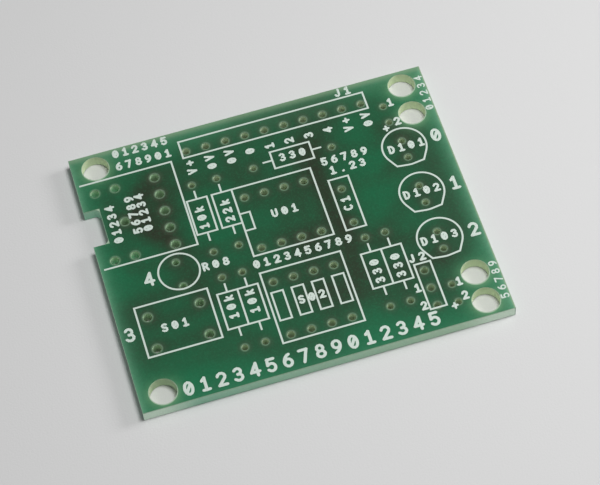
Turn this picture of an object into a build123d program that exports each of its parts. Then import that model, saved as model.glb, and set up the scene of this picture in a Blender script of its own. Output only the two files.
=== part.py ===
"""Bare single-sided circuit board of a small microcontroller experimenter kit.

The board has no components on it. A glass-epoxy laminate carries etched copper conductors on its
underside and a white printed legend on top. Every lead hole is drilled and left unplated.
Leads stand on a grid of half lead pitches. Its place (0, 0) is the top left lead of the
microcontroller, columns count to the right (+X) and rows count away from the front edge (+Y).
The part's origin is the middle of the board's underside, on the face that rests on the table.
"""
import os
from math import hypot, radians, tan

from build123d import *

# Board
board_length = 46.0
board_width = 37.3
laminate_thickness = 1.6
copper_thickness = 0.05
tin_thickness = 0.02
legend_thickness = 0.03
legend_line = 0.23
notch_width = 5.2
notch_depth = 2.0
notch_corner_radius = 0.7
notch_row = 1.15

# Screw holes in the corners, and the holes beside them that hold the cables
screw_hole = 3.4
screw_hole_side_margin = 3.0
screw_hole_end_margin = 2.15
cable_hole = 3.4
supply_cable_hole_spacing = 4.4
sounder_cable_hole_spacing = 4.1

# Lead grid, drills and pads
lead_pitch = 2.54
grid_from_left = 19.5
grid_from_back = 12.15
fine_drill = 0.8
chip_drill = 0.9
stout_drill = 1.1
fine_pad = 1.6
chip_pad = 1.55
stout_pad = 2.0
drill_sides = 16
pad_sides = 8
eye_clearance = 0.03
signal_width = 0.4
lead_lane = 1.25
rail_width = 0.5
broad_width = 1.0

# Lead spans of the parts that the board takes, in grid steps of half a lead pitch
resistor_span = 8
chip_row_span = 6
capacitor_span = 4
led_lead_span = 2
sensor_span = 2.75
button_length_span = 6.5
button_width_span = 4.5

# The legend is printed a little to the right and to the back of its true place
legend_shift_x = 0.05
legend_shift_y = 0.38

# Legend outlines, in grid steps unless they are given in millimetres
resistor_half_width = 1
resistor_half_length = 2
lead_mark_length = 1
led_radius = 2.19
led_flat_distance = 2.03
led_flat_half_length = 1.37
led_side_slope = 60
sensor_radius = 2.0
button_outline_length = 9.1
button_outline_width = 7.1
slide_half_width = 0.575
slide_half_length = 1.575

grid_step = lead_pitch / 2
grid_x = grid_from_left - board_length / 2
grid_y = board_width / 2 - grid_from_back
pad_turn = 180 / pad_sides
laminate_base = tin_thickness + copper_thickness
legend_base = laminate_base + laminate_thickness


def at(place):
    """Turn a grid place (column, row) into millimetres on the board."""
    column, row = place
    return (grid_x + column * grid_step, grid_y + row * grid_step)


def printed(place):
    """The spot in millimetres where the legend's print for a grid place lies."""
    x, y = at(place)
    return (x + legend_shift_x, y + legend_shift_y)


def finish(piece, name):
    """Label a finished piece and write its STEP file."""
    piece.part.label = name
    export_step(piece.part, f"parts/{name}.step")


# Lead places, one list for each part that the board takes
header = [(column, 7) for column in range(-4, 16, 2)]
chip_top = [(column, 0) for column in range(0, 8, 2)]
chip_bottom = [(column, -chip_row_span) for column in range(0, 8, 2)]
bank_middle_row = -13
bank_top = [(column, bank_middle_row + chip_row_span / 2) for column in range(0, 8, 2)]
bank_bottom = [(column, bank_middle_row - chip_row_span / 2) for column in range(0, 8, 2)]
link_header = [(14, row) for row in (-13.25, -15.25, -17.25)]

socket_row = 1
socket_contacts = [(-7.75, socket_row + step) for step in (4, 2, 0, -2, -4)]
socket_sleeve = (-11.75, socket_row)
socket_pegs = [(column, socket_row + step) for column in (-13.75, -11.75) for step in (4, -4)]

resistor_1 = [(-4.5, 3), (-4.5, 3 - resistor_span)]
resistor_2 = [(-2, 3), (-2, 3 - resistor_span)]
resistor_3 = [(1.75, 3), (1.75 + resistor_span, 3)]
resistor_4 = [(-4.5, -8), (-4.5, -8 - resistor_span)]
resistor_5 = [(-2.5, -8), (-2.5, -8 - resistor_span)]
resistor_6 = [(9.75, -8), (9.75, -8 - resistor_span)]
resistor_7 = [(11.75, -8), (11.75, -8 - resistor_span)]
resistors = [resistor_1, resistor_2, resistor_3, resistor_4, resistor_5, resistor_6, resistor_7]

capacitor = [(9.25, -2), (9.25, -2 - capacitor_span)]
sensor = [(-8.25, -5), (-8.25, -5 - sensor_span)]
led_column = 16.5
led_rows = (0.5, -5, -10.5)
led_anodes = [(led_column, row + led_lead_span / 2) for row in led_rows]
led_cathodes = [(led_column, row - led_lead_span / 2) for row in led_rows]
supply_wires = [(16, 6), (16, 4)]
sounder_wires = [(16, -15.5), (16, -17.5)]

button_middle = (-9.8, -11.8)
button_reach = (button_length_span / 2 / grid_step, button_width_span / 2 / grid_step)
button_upper = [(button_middle[0] + side * button_reach[0], button_middle[1] + button_reach[1])
                for side in (-1, 1)]
button_lower = [(button_middle[0] + side * button_reach[0], button_middle[1] - button_reach[1])
                for side in (-1, 1)]

fine_leads = sum(resistors, []) + capacitor + sensor + led_anodes + led_cathodes
fine_leads += supply_wires + sounder_wires
chip_leads = chip_top + chip_bottom + bank_top + bank_bottom
header_leads = header + link_header
stout_leads = socket_contacts + [socket_sleeve] + button_upper + button_lower

drill_of = {place: fine_drill for place in fine_leads}
drill_of.update({place: chip_drill for place in chip_leads + header_leads})
drill_of.update({place: stout_drill for place in stout_leads + socket_pegs})
pad_of = {place: fine_pad for place in fine_leads + header_leads}
pad_of.update({place: chip_pad for place in chip_leads})
pad_of.update({place: stout_pad for place in stout_leads})

# Screw holes stand in the four corners; a cable hole stands beside each of the two right ones
screw_x = board_length / 2 - screw_hole_side_margin
screw_y = board_width / 2 - screw_hole_end_margin
screw_places = [(side * screw_x, end * screw_y) for side in (-1, 1) for end in (-1, 1)]
cable_places = [(screw_x, screw_y - supply_cable_hole_spacing),
                (screw_x, sounder_cable_hole_spacing - screw_y)]


def bar(points, width):
    """Corners of a bar of one width along a bent path, with mitred bends and square ends."""
    normals = []
    for (x1, y1), (x2, y2) in zip(points, points[1:]):
        run = hypot(x2 - x1, y2 - y1)
        normals.append(((y1 - y2) / run, (x2 - x1) / run))
    left, right = [], []
    for index, (x, y) in enumerate(points):
        before = normals[max(index - 1, 0)]
        after = normals[min(index, len(normals) - 1)]
        mitre = 1 + before[0] * after[0] + before[1] * after[1]
        across = ((before[0] + after[0]) / mitre, (before[1] + after[1]) / mitre)
        left.append((x + across[0] * width / 2, y + across[1] * width / 2))
        right.append((x - across[0] * width / 2, y - across[1] * width / 2))
    return left + right[::-1]


def conductor(name, leads, runs):
    """One etched conductor: runs of copper that join eight-sided pads, which are tinned below."""
    with BuildPart() as piece:
        with BuildSketch(Plane.XY.offset(tin_thickness)):
            for path, width in runs:
                Polygon(*bar([at(place) for place in path], width), align=None)
        extrude(amount=copper_thickness)
        with BuildSketch():
            for lead in leads:
                with Locations(at(lead)):
                    RegularPolygon(pad_of[lead] / 2, pad_sides, major_radius=False, rotation=pad_turn)
        extrude(amount=laminate_base)
        with BuildSketch():
            for lead in leads:
                with Locations(at(lead)):
                    eye = drill_of[lead] / 2 + eye_clearance
                    RegularPolygon(eye, pad_sides, major_radius=False, rotation=pad_turn)
        extrude(amount=laminate_base, mode=Mode.SUBTRACT)
    finish(piece, name)


def frame_of(middle, half_width, half_length):
    """A legend frame as its left, right, lower and upper sides in grid steps."""
    column, row = middle
    return (column - half_width, column + half_width, row - half_length, row + half_length)


def legend(name, frames=(), strokes=()):
    """Printed frames and strokes of one legend mark, all in one line width."""
    with BuildPart() as piece:
        with BuildSketch(Plane.XY.offset(legend_base)):
            for growth, mode in ((legend_line, Mode.ADD), (-legend_line, Mode.SUBTRACT)):
                for left, right, low, high in frames:
                    with Locations(printed(((left + right) / 2, (low + high) / 2))):
                        Rectangle((right - left) * grid_step + growth,
                                  (high - low) * grid_step + growth, mode=mode)
            for path in strokes:
                Polygon(*bar([printed(place) for place in path], legend_line), align=None)
        extrude(amount=legend_thickness)
    finish(piece, name)


def lead_marks(resistor):
    """The two short strokes that point from a resistor's body to its leads."""
    (column_1, row_1), (column_2, row_2) = resistor
    along = ((column_2 - column_1) / resistor_span, (row_2 - row_1) / resistor_span)
    body_end = (resistor_span / 2 - resistor_half_length)
    first = (column_1 + along[0] * body_end, row_1 + along[1] * body_end)
    second = (column_2 - along[0] * body_end, row_2 - along[1] * body_end)
    reach = (along[0] * lead_mark_length, along[1] * lead_mark_length)
    return [[first, (first[0] - reach[0], first[1] - reach[1])],
            [second, (second[0] + reach[0], second[1] + reach[1])]]


def resistor_frame(resistor):
    """The body frame of a resistor, which lies half way between its leads."""
    (column_1, row_1), (column_2, row_2) = resistor
    middle = ((column_1 + column_2) / 2, (row_1 + row_2) / 2)
    if row_1 == row_2:
        return frame_of(middle, resistor_half_length, resistor_half_width)
    return frame_of(middle, resistor_half_width, resistor_half_length)


os.makedirs("parts", exist_ok=True)

# ---------------------------------------------------------------- laminate
with BuildPart() as laminate:
    with BuildSketch(Plane.XY.offset(laminate_base)):
        Rectangle(board_length, board_width)
        notch_middle = (-board_length / 2, at((0, notch_row))[1])
        with Locations(notch_middle):
            Rectangle(2 * notch_depth, notch_width, mode=Mode.SUBTRACT)
    extrude(amount=laminate_thickness)
    notch_corners = laminate.edges().filter_by(Axis.Z).filter_by_position(
        Axis.X, notch_depth - board_length / 2 - 0.1, notch_depth - board_length / 2 + 0.1)
    fillet(notch_corners, notch_corner_radius)
    with Locations((0, 0, legend_base)):
        with Locations(*screw_places):
            Hole(screw_hole / 2)
        with Locations(*cable_places):
            Hole(cable_hole / 2)
    with BuildSketch(Plane.XY.offset(laminate_base)):
        for place, drill in drill_of.items():
            with Locations(at(place)):
                RegularPolygon(drill / 2, drill_sides, major_radius=False)
    extrude(amount=laminate_thickness, mode=Mode.SUBTRACT)
finish(laminate, "laminate")

# ---------------------------------------------------------------- conductors
rail, signal, broad = rail_width, signal_width, broad_width
conductor(
    "conductor_positive",
    [header[0], header[8], supply_wires[1], capacitor[1], chip_bottom[0], *button_upper, sensor[0],
     sounder_wires[0]],
    [([supply_wires[1], (17.35, 3), (18.2, 2.3), (18.9, 1.5), (18.9, -11.8), (17.9, -12.8),
       (16, -12.8), (15.2, -12), (8.2, -12)], rail),
     ([(16, -12.8), sounder_wires[0]], rail),
     ([header[8], (11.2, 6.5), (8.2, 3.5), (8.2, -12.1), (7.7, -12.6), (-0.55, -12.6), (-1.15, -12),
       (-1.15, -7.15), chip_bottom[0]], signal),
     ([(8.2, -6), capacitor[1]], signal),
     ([(-1.15, -10.3), (-6.3, -10.3), button_upper[1]], rail),
     ([button_upper[1], (-8, -10.9), (-11.6, -10.9), button_upper[0]], rail),
     ([button_upper[1], (-6.8, -9.3), (-6.8, -6.45), sensor[0]], rail),
     ([sensor[0], (-9.4, -4.7), (-11.9, -4.7), (-12.75, -3.85), (-12.75, -1.2), (-13, -0.9), (-13, 2.6),
       (-12.75, 3), (-12.75, 5.1), (-11.6, 6.25), (-4.75, 6.25), header[0]], signal)])

conductor(
    "conductor_ground",
    [supply_wires[0], header[9], header[2], header[1], chip_top[0], *led_cathodes, capacitor[0],
     socket_sleeve, socket_contacts[0], socket_contacts[3], socket_contacts[4], resistor_1[1],
     resistor_4[0], resistor_5[0]],
    [([supply_wires[0], (15, 7), header[9], (12.6, 8.5), (1.4, 8.5), header[2], header[1]], rail),
     ([header[2], chip_top[0]], rail),
     ([header[1], (-3.9, 5), socket_contacts[0]], rail),
     ([socket_contacts[0], (-9.6, 4), (-10.1, 2.7), (-10.1, -0.9), socket_contacts[4]], broad),
     ([(-10.1, socket_row), socket_sleeve], broad),
     ([socket_contacts[3], socket_contacts[4], (-5.9, -5), resistor_1[1], resistor_4[0],
       resistor_5[0]], rail),
     ([header[9], (14, 4.4), (15.6, 2.8), (16.9, 2.55), (17.6, 1.8), (17.6, 0.6),
       led_cathodes[0]], signal),
     ([led_cathodes[0], (17.7, -1.7), (17.7, -4.8), led_cathodes[1], (17.7, -7.2), (17.7, -10.3),
       led_cathodes[2]], signal),
     ([led_cathodes[0], (15.2, -0.5), (13.7, -2), capacitor[0]], rail)])

conductor(
    "conductor_download_in", [socket_contacts[1], resistor_1[0], resistor_2[0]],
    [([socket_contacts[1], resistor_1[0], resistor_2[0]], rail)])
conductor(
    "conductor_serial_in", [resistor_2[1], chip_bottom[1]],
    [([resistor_2[1], (-1.2, -4.2), (1.2, -4.2), chip_bottom[1]], signal)])
conductor(
    "conductor_channel_0", [header[3], resistor_3[0], chip_top[1], socket_contacts[2]],
    [([header[3], (2, 4.3), resistor_3[0], (1.75, 1.1), chip_top[1]], signal),
     ([chip_top[1], (1, -1.45), (-1, -1.45), (-2.8, 0.35), (-6.6, 0.35), socket_contacts[2]], signal)])
conductor(
    "conductor_channel_1", [header[4], chip_top[2], bank_top[0]],
    [([header[4], chip_top[2]], signal),
     ([chip_top[2], (3, -1.6), (3, -7.2), (0.8, -9.4), bank_top[0]], signal)])
conductor(
    "conductor_channel_2", [header[5], chip_top[3], bank_top[2]],
    [([header[5], chip_top[3]], signal),
     ([chip_top[3], (5, -1.6), (5, -7.6), (4, -8.8), bank_top[2]], signal)])
conductor(
    "conductor_channel_3", [header[6], chip_bottom[3], bank_top[3]],
    [([chip_bottom[3], bank_top[3]], signal),
     ([chip_bottom[3], (7.05, -4.95), (7.05, 5), (8, 5.95), header[6]], signal)])
conductor(
    "conductor_channel_4", [header[7], chip_bottom[2], bank_top[1]],
    [([chip_bottom[2], (4, -7.3), (2, -9.3), bank_top[1], (2, -11.2), (2.6, -11.8), (7, -11.8),
       (7.6, -11.2), (7.6, 4.2), (10, 6.4), header[7]], signal)])
conductor(
    "conductor_led_1", [resistor_3[1], led_anodes[0]],
    [([resistor_3[1], (10.6, 2.1), (15.7, 2.1), led_anodes[0]], signal)])
conductor(
    "conductor_led_2", [resistor_7[0], led_anodes[1]],
    [([resistor_7[0], (15.75, -4), led_anodes[1]], rail)])
conductor(
    "conductor_led_3", [resistor_6[0], led_anodes[2]],
    [([resistor_6[0], (11.2, -9.5), led_anodes[2]], rail)])
conductor(
    "conductor_switched_1", [bank_bottom[0], resistor_7[1], link_header[0]],
    [([bank_bottom[0], (0, -14.2), (0.7, -13.5), (11.2, -13.5), (12.6, -13.25), link_header[0]], signal),
     ([(11.75, -13.4), resistor_7[1]], signal)])
conductor(
    "conductor_switched_2", [bank_bottom[2], resistor_6[1], link_header[2]],
    [([bank_bottom[2], (4, -14.9), (4.6, -14.3), (9.15, -14.3), (9.75, -14.9), resistor_6[1],
       (11, resistor_7[1][1] - lead_lane), (12.8, resistor_7[1][1] - lead_lane),
       link_header[2]], signal)])
conductor(
    "conductor_sounder", [link_header[1], sounder_wires[1]],
    [([link_header[1], (14.9, -16.15), (14.9, -16.6), sounder_wires[1]], signal)])
conductor(
    "conductor_sensor", [sensor[1], resistor_4[1], bank_bottom[3]],
    [([sensor[1], (-9.2, -8.1), (-13.2, -8.1), (-14.1, -9), (-14.1, -14.9), (-13, -16),
       resistor_4[1]], rail),
     ([resistor_4[1], (-2.8, -17.7), (4.3, -17.7), bank_bottom[3]], signal)])
conductor(
    "conductor_button", [*button_lower, resistor_5[1], bank_bottom[1]],
    [([*button_lower, (-4.7, -13.8), resistor_5[1]], rail),
     ([resistor_5[1], (-1.45, -17.05), (0.95, -17.05), bank_bottom[1]], signal)])

# ---------------------------------------------------------------- legend
legend("legend_header", frames=[(-4.5, 14.5, 6, 8)])
legend("legend_link_header", frames=[frame_of(link_header[1], 0.8, 2.55)])
legend("legend_socket", strokes=[[(-15.05, socket_row + 5), (-5.75, socket_row + 5),
                                  (-5.75, socket_row - 5), (-15.05, socket_row - 5)]])
legend("legend_resistor_1", frames=[resistor_frame(resistor_1)], strokes=lead_marks(resistor_1))
legend("legend_microcontroller",
       frames=[(-1, 7, -chip_row_span - 1, 1), resistor_frame(resistor_2)],
       strokes=[[(-1, -2), (0, -2), (0, -4), (-1, -4)], *lead_marks(resistor_2)])
legend("legend_resistor_3", frames=[resistor_frame(resistor_3)], strokes=lead_marks(resistor_3))
legend("legend_resistors_4_5",
       frames=[resistor_frame(resistor_4), resistor_frame(resistor_5)],
       strokes=lead_marks(resistor_4) + lead_marks(resistor_5))
legend("legend_resistors_6_7",
       frames=[resistor_frame(resistor_6), resistor_frame(resistor_7)],
       strokes=lead_marks(resistor_6) + lead_marks(resistor_7))
legend("legend_capacitor", frames=[frame_of((9.25, -2 - capacitor_span / 2), 1, 3)])
legend("legend_button", frames=[frame_of(button_middle, button_outline_length / 2 / grid_step,
                                         button_outline_width / 2 / grid_step)])
legend("legend_switch_bank",
       frames=[frame_of((3, bank_middle_row), 4, 4)])
legend("legend_switch_slides",
       frames=[frame_of((column, bank_middle_row), slide_half_width, slide_half_length)
               for column, _ in bank_top])

with BuildPart() as sensor_ring:
    with BuildSketch(Plane.XY.offset(legend_base)):
        with Locations(printed((sensor[0][0], sensor[0][1] - sensor_span / 2))):
            Circle(sensor_radius * grid_step + legend_line / 2)
            Circle(sensor_radius * grid_step - legend_line / 2, mode=Mode.SUBTRACT)
    extrude(amount=legend_thickness)
finish(sensor_ring, "legend_sensor")

for number, row in enumerate(led_rows, start=1):
    middle_x, middle_y = printed((led_column, row))
    with BuildPart() as led_outline:
        with BuildSketch(Plane.XY.offset(legend_base)):
            for growth, mode in ((legend_line / 2, Mode.ADD), (-legend_line / 2, Mode.SUBTRACT)):
                flat_y = middle_y - led_flat_distance * grid_step - growth
                flat_x = led_flat_half_length * grid_step + growth * tan(radians(led_side_slope / 2))
                with BuildLine() as rim:
                    CenterArc((middle_x, middle_y), led_radius * grid_step + growth, 0, 360)
                    Line((middle_x - flat_x, flat_y), (middle_x + flat_x, flat_y))
                make_hull(rim.edges(), mode=mode)
        extrude(amount=legend_thickness)
    finish(led_outline, f"legend_led_{number}")
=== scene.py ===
"""Looks of a bare single-sided circuit board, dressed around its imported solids.

The solids are the laminate, the copper conductors and the legend outlines. This script adds the
two coats of solder resist, the characters of the legend and the stage, and gives every surface its
finish. Lengths are metres, unless a name or a comment says millimetres.
"""
from functools import partial

import bpy
import numpy as np
from bpy.props import FloatProperty, FloatVectorProperty, PointerProperty
from mathutils import Matrix, Vector


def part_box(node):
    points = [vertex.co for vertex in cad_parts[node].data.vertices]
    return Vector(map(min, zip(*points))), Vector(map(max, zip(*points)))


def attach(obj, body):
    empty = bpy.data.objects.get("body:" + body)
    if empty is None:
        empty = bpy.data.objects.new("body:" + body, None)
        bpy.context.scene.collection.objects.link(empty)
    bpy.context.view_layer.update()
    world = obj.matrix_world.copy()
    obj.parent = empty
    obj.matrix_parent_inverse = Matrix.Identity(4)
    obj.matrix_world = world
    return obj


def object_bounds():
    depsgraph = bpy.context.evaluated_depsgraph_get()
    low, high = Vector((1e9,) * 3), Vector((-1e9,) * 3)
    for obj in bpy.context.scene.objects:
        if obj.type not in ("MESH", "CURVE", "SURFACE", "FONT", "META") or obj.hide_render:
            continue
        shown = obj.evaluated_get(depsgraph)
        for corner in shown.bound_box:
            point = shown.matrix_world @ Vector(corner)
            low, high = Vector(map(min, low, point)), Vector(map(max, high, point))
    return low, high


bl_info = {
    "name": "Bare circuit board finish",
    "version": (1, 0, 0),
    "blender": (4, 5, 0),
    "location": "View3D > Sidebar > Board",
    "description": "Solder resist, legend characters and finishes for a bare circuit board",
    "category": "Object",
}

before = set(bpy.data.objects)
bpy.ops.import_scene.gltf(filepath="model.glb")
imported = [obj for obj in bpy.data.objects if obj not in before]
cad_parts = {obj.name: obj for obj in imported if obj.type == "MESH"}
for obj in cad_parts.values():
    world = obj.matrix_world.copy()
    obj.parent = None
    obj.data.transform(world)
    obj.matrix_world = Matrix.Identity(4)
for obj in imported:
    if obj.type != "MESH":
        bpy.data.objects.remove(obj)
CAD_BOX = [list(map(float, corner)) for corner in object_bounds()]
BODY = "root"
MM = 0.001
WELD = 1e-7
PITCH = 2.54 * MM

NODES = sorted(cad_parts)
CONDUCTORS = [name for name in NODES if name.startswith("conductor")]
LEGENDS = [name for name in NODES if name.startswith("legend")]


# ---------------------------------------------------------------- sizes and colours

ColourProperty = partial(FloatVectorProperty, subtype="COLOR", size=3)
LengthProperty = partial(FloatProperty, unit="LENGTH")


class BoardResist(bpy.types.PropertyGroup):
    """Sizes and colours of the green coats on both faces."""
    thickness: LengthProperty(
        name="Coat thickness", description="Thickness of the resist on the printed side",
        default=0.00002)
    cell: LengthProperty(name="Mesh cell", description="Spacing of the coat's mesh", default=0.0002)
    inset: LengthProperty(
        name="Edge inset", description="Bare laminate left along the outline", default=0.00003)
    collar: LengthProperty(
        name="Bare collar", description="Bare laminate left round each drilled lead hole",
        default=0.00004)
    bore_collar: LengthProperty(
        name="Bore collar", description="Bare laminate left round each large hole", default=0.00002)
    slip: LengthProperty(
        name="Window slip",
        description="How far the printed side's large windows sit towards the front",
        default=0.00007)
    window: LengthProperty(
        name="Pad window", description="Gap between a pad and the coat on the copper side",
        default=0.00004)
    near_blur: LengthProperty(
        name="Near blur", description="Spread of the copper's shadow just above it", default=0.0009)
    wide_blur: LengthProperty(
        name="Wide blur", description="Spread of the light that the copper keeps from the laminate",
        default=0.0030)
    bore_depth: LengthProperty(
        name="Bore depth", description="How far light from a large hole's wall reaches",
        default=0.00055)
    rim_depth: LengthProperty(
        name="Rim depth", description="How far light from a cut edge reaches into the laminate",
        default=0.00055)
    green: ColourProperty(
        name="Green", description="Resist over clear laminate", default=(0.008, 0.135, 0.057))
    light_green: ColourProperty(
        name="Light green", description="Resist where the most light comes through",
        default=(0.050, 0.270, 0.130))
    shaded_green: ColourProperty(
        name="Shaded green", description="Resist where copper darkens the laminate below",
        default=(0.026, 0.034, 0.020))
    rim_green: ColourProperty(
        name="Rim green", description="Resist at an edge, where light enters the laminate",
        default=(0.138, 0.340, 0.210))
    # Painted light: resist beside a large hole, paler where light comes out of the hole's wall
    bore_light_green: ColourProperty(
        name="Bore light green", description="Resist beside a large hole", default=(0.150, 0.310, 0.165))
    worn_edge: ColourProperty(
        name="Worn edge", description="Laminate showing along the very edge on the right",
        default=(0.42, 0.40, 0.26))
    # Painted sheen: the resist is made paler along the back edge
    back_sheen: ColourProperty(
        name="Back sheen", description="Resist where it thins along the back edge",
        default=(0.215, 0.300, 0.185))
    clear_halo: ColourProperty(
        name="Halo clear of copper", description="Crazed resist round a hole that has no pad",
        default=(0.110, 0.255, 0.140))
    halo: ColourProperty(
        name="Hole halo", description="Resist crazed by the drill round a hole",
        default=(0.150, 0.225, 0.150))
    # Painted shade: the copper pads below darken the resist round each lead hole
    pad_shade: ColourProperty(
        name="Pad shade", description="Resist over copper, darker round a hole's pale ring",
        default=(0.085, 0.085, 0.060))
    track_green: ColourProperty(
        name="Track green", description="Resist over copper, on the copper side",
        default=(0.055, 0.250, 0.070))


class BoardLaminate(bpy.types.PropertyGroup):
    """Colours of the glass-epoxy sheet, the tinned pads and the ink."""
    cut_edge: ColourProperty(
        name="Cut edge", description="Routed edge of the laminate, lit through the resist",
        default=(0.37, 0.62, 0.47))
    # Painted light: the routed edge is paler near the printed side and towards the right of the
    # board
    cut_edge_low: ColourProperty(
        name="Low cut edge", description="Routed edge of the laminate near the copper side",
        default=(0.22, 0.50, 0.36))
    cut_edge_right: ColourProperty(
        name="Right cut edge", description="Routed edge towards the right of the board",
        default=(0.54, 0.70, 0.53))
    cut_edge_low_right: ColourProperty(
        name="Low right cut edge", description="The same near the copper side",
        default=(0.46, 0.66, 0.48))
    cut_edge_end: ColourProperty(
        name="End of the cut edge",
        description="Routed edge near a corner, where more light enters",
        default=(0.86, 1.00, 0.86))
    # Painted shade: the routed edge on the right is made darker, as the side lamp lights it
    right_edge_shade: ColourProperty(
        name="Shaded right edge",
        description="Routed edge on the right, which the side lamp meets",
        default=(0.24, 0.34, 0.26))
    cut_edge_lip: ColourProperty(
        name="Cut edge lip", description="Resist drawn over the top of the routed edge",
        default=(0.10, 0.22, 0.13))
    bore: ColourProperty(
        name="Large bore", description="Wall of a screw or cable hole", default=(0.66, 0.73, 0.48))
    drilled: ColourProperty(
        name="Drilled wall", description="Wall of a lead hole", default=(0.27, 0.32, 0.20))
    # Painted light: the top of a lead hole's wall is paler, where more light reaches it
    drilled_rim: ColourProperty(
        name="Drilled rim", description="Wall of a lead hole near the printed side",
        default=(0.66, 0.78, 0.57))
    drilled_green_rim: ColourProperty(
        name="Green drilled rim", description="The same under the socket or the button",
        default=(0.54, 0.76, 0.52))
    drilled_clear: ColourProperty(
        name="Clear drilled wall", description="Wall of a locating hole of the socket",
        default=(0.20, 0.54, 0.33))
    drilled_green: ColourProperty(
        name="Green drilled wall", description="Wall of a lead hole under the socket or the button",
        default=(0.16, 0.27, 0.15))
    collar: ColourProperty(
        name="Bare collar", description="Bare face of the laminate beside a lead hole",
        default=(0.185, 0.265, 0.175))
    # Bare laminate, painted pale as the highlight along an edge or a large hole
    bare: ColourProperty(
        name="Bare rim", description="Bare face of the laminate beside an edge or a large hole",
        default=(0.33, 0.46, 0.33))
    fibre: ColourProperty(
        name="Fibre", description="Pale bundles of glass in the cut sheet",
        default=(0.66, 0.74, 0.56))
    fray: ColourProperty(
        name="Fray", description="Dark gaps between the fibres", default=(0.16, 0.22, 0.12))
    glow: ColourProperty(
        name="Glow", description="Light that comes through the sheet and out of a lead hole's wall",
        default=(0.014, 0.024, 0.012))
    bore_dim: ColourProperty(
        name="Dim bore", description="Wall of the hole farthest from the light",
        default=(0.46, 0.53, 0.34))
    bore_glow: ColourProperty(
        name="Bore glow", description="Light that comes out of the wall of a large hole or an edge",
        default=(0.024, 0.050, 0.032))
    tin: ColourProperty(
        name="Tin", description="Solder levelled on the pads", default=(0.62, 0.62, 0.60))
    ink: ColourProperty(
        name="Legend ink", description="White printed legend", default=(0.575, 0.660, 0.602))
    thin_ink: ColourProperty(
        name="Thin ink", description="Legend ink where the green shows through",
        default=(0.42, 0.52, 0.46))
    cap_height: LengthProperty(
        name="Capital height", description="Height of the legend's usual characters",
        default=0.0013)
    bold_height: LengthProperty(
        name="Bold height", description="Height of the bold channel numbers", default=0.00205)
    ink_stroke: LengthProperty(
        name="Stroke width", description="Width of the characters' fine strokes", default=0.00035)
    bold_stroke: LengthProperty(
        name="Bold stroke", description="Width of the bold characters' strokes", default=0.00044)


class BoardStage(bpy.types.PropertyGroup):
    """The surface that the board lies on, the lights and the camera."""
    paper: ColourProperty(
        name="Paper", description="Colour of the paper", default=(0.645, 0.645, 0.645))
    paper_side: LengthProperty(
        name="Paper side", description="Width of the sheet of paper", default=0.9)
    azimuth: FloatProperty(
        name="Azimuth", description="Heading of the camera from the back edge",
        default=np.radians(12.145), subtype="ANGLE")
    elevation: FloatProperty(
        name="Elevation", description="Height angle of the camera", default=np.radians(58.24),
        subtype="ANGLE")
    roll: FloatProperty(
        name="Roll", description="Turn of the camera about its view", default=np.radians(5.2),
        subtype="ANGLE")
    distance: LengthProperty(
        name="Distance", description="From the camera to the board", default=0.28969)
    lens_mm: FloatProperty(
        name="Lens", description="Focal length in millimetres on a 36 mm sensor", default=142.96)
    ambient: FloatProperty(
        name="Ambient", description="Strength of the world's light", default=0.19)
    key_power: FloatProperty(
        name="Key power", description="Power of the soft lamp overhead, in watts", default=0.54)
    key_size: LengthProperty(
        name="Key size", description="Width of the soft lamp overhead", default=0.10)
    side_power: FloatProperty(
        name="Side power", description="Power of the soft lamp on the right, in watts",
        default=0.37)
    side_size: LengthProperty(
        name="Side size", description="Width of the soft lamp on the right", default=0.12)


# ---------------------------------------------------------------- reading the solids

def welded(name):
    """Corners and triangles of a solid, with corners that coincide made one."""
    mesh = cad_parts[name].data
    corners = np.empty(len(mesh.vertices) * 3)
    mesh.vertices.foreach_get("co", corners)
    index = np.empty(len(mesh.loops), dtype=int)
    mesh.loops.foreach_get("vertex_index", index)
    steps, back = np.unique(np.round(corners.reshape(-1, 3) / WELD).astype(int), axis=0,
                            return_inverse=True)
    return steps * WELD, back.reshape(-1)[index].reshape(-1, 3)


def face_outline(name, height):
    """Edges of the flat face at one height: those that only one of its triangles uses."""
    corners, triangles = welded(name)
    level = np.abs(corners[triangles][:, :, 2] - height) < 10 * WELD
    flat = triangles[level.all(axis=1)]
    edges = np.sort(np.concatenate([flat[:, [0, 1]], flat[:, [1, 2]], flat[:, [2, 0]]]), axis=1)
    edges, uses = np.unique(edges, axis=0, return_counts=True)
    return corners[:, :2], edges[uses == 1]


def closed_loops(corners, edges):
    """Splits outline edges into loops by spreading the lowest corner number along them."""
    label = np.arange(len(corners))
    while True:
        low = label[edges].min(axis=1)
        spread = label.copy()
        np.minimum.at(spread, edges[:, 0], low)
        np.minimum.at(spread, edges[:, 1], low)
        if (spread == label).all():
            break
        label = spread
    marks = label[edges[:, 0]]
    return [corners[edges[marks == mark]] for mark in np.unique(marks)]


def round_hole(segments):
    """Centre and radius of a hole: the mean of its wall's midpoints, and their mean distance."""
    middle = segments.mean(axis=1)
    centre = middle.mean(axis=0)
    return np.append(centre, np.linalg.norm(middle - centre, axis=1).mean())


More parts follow.
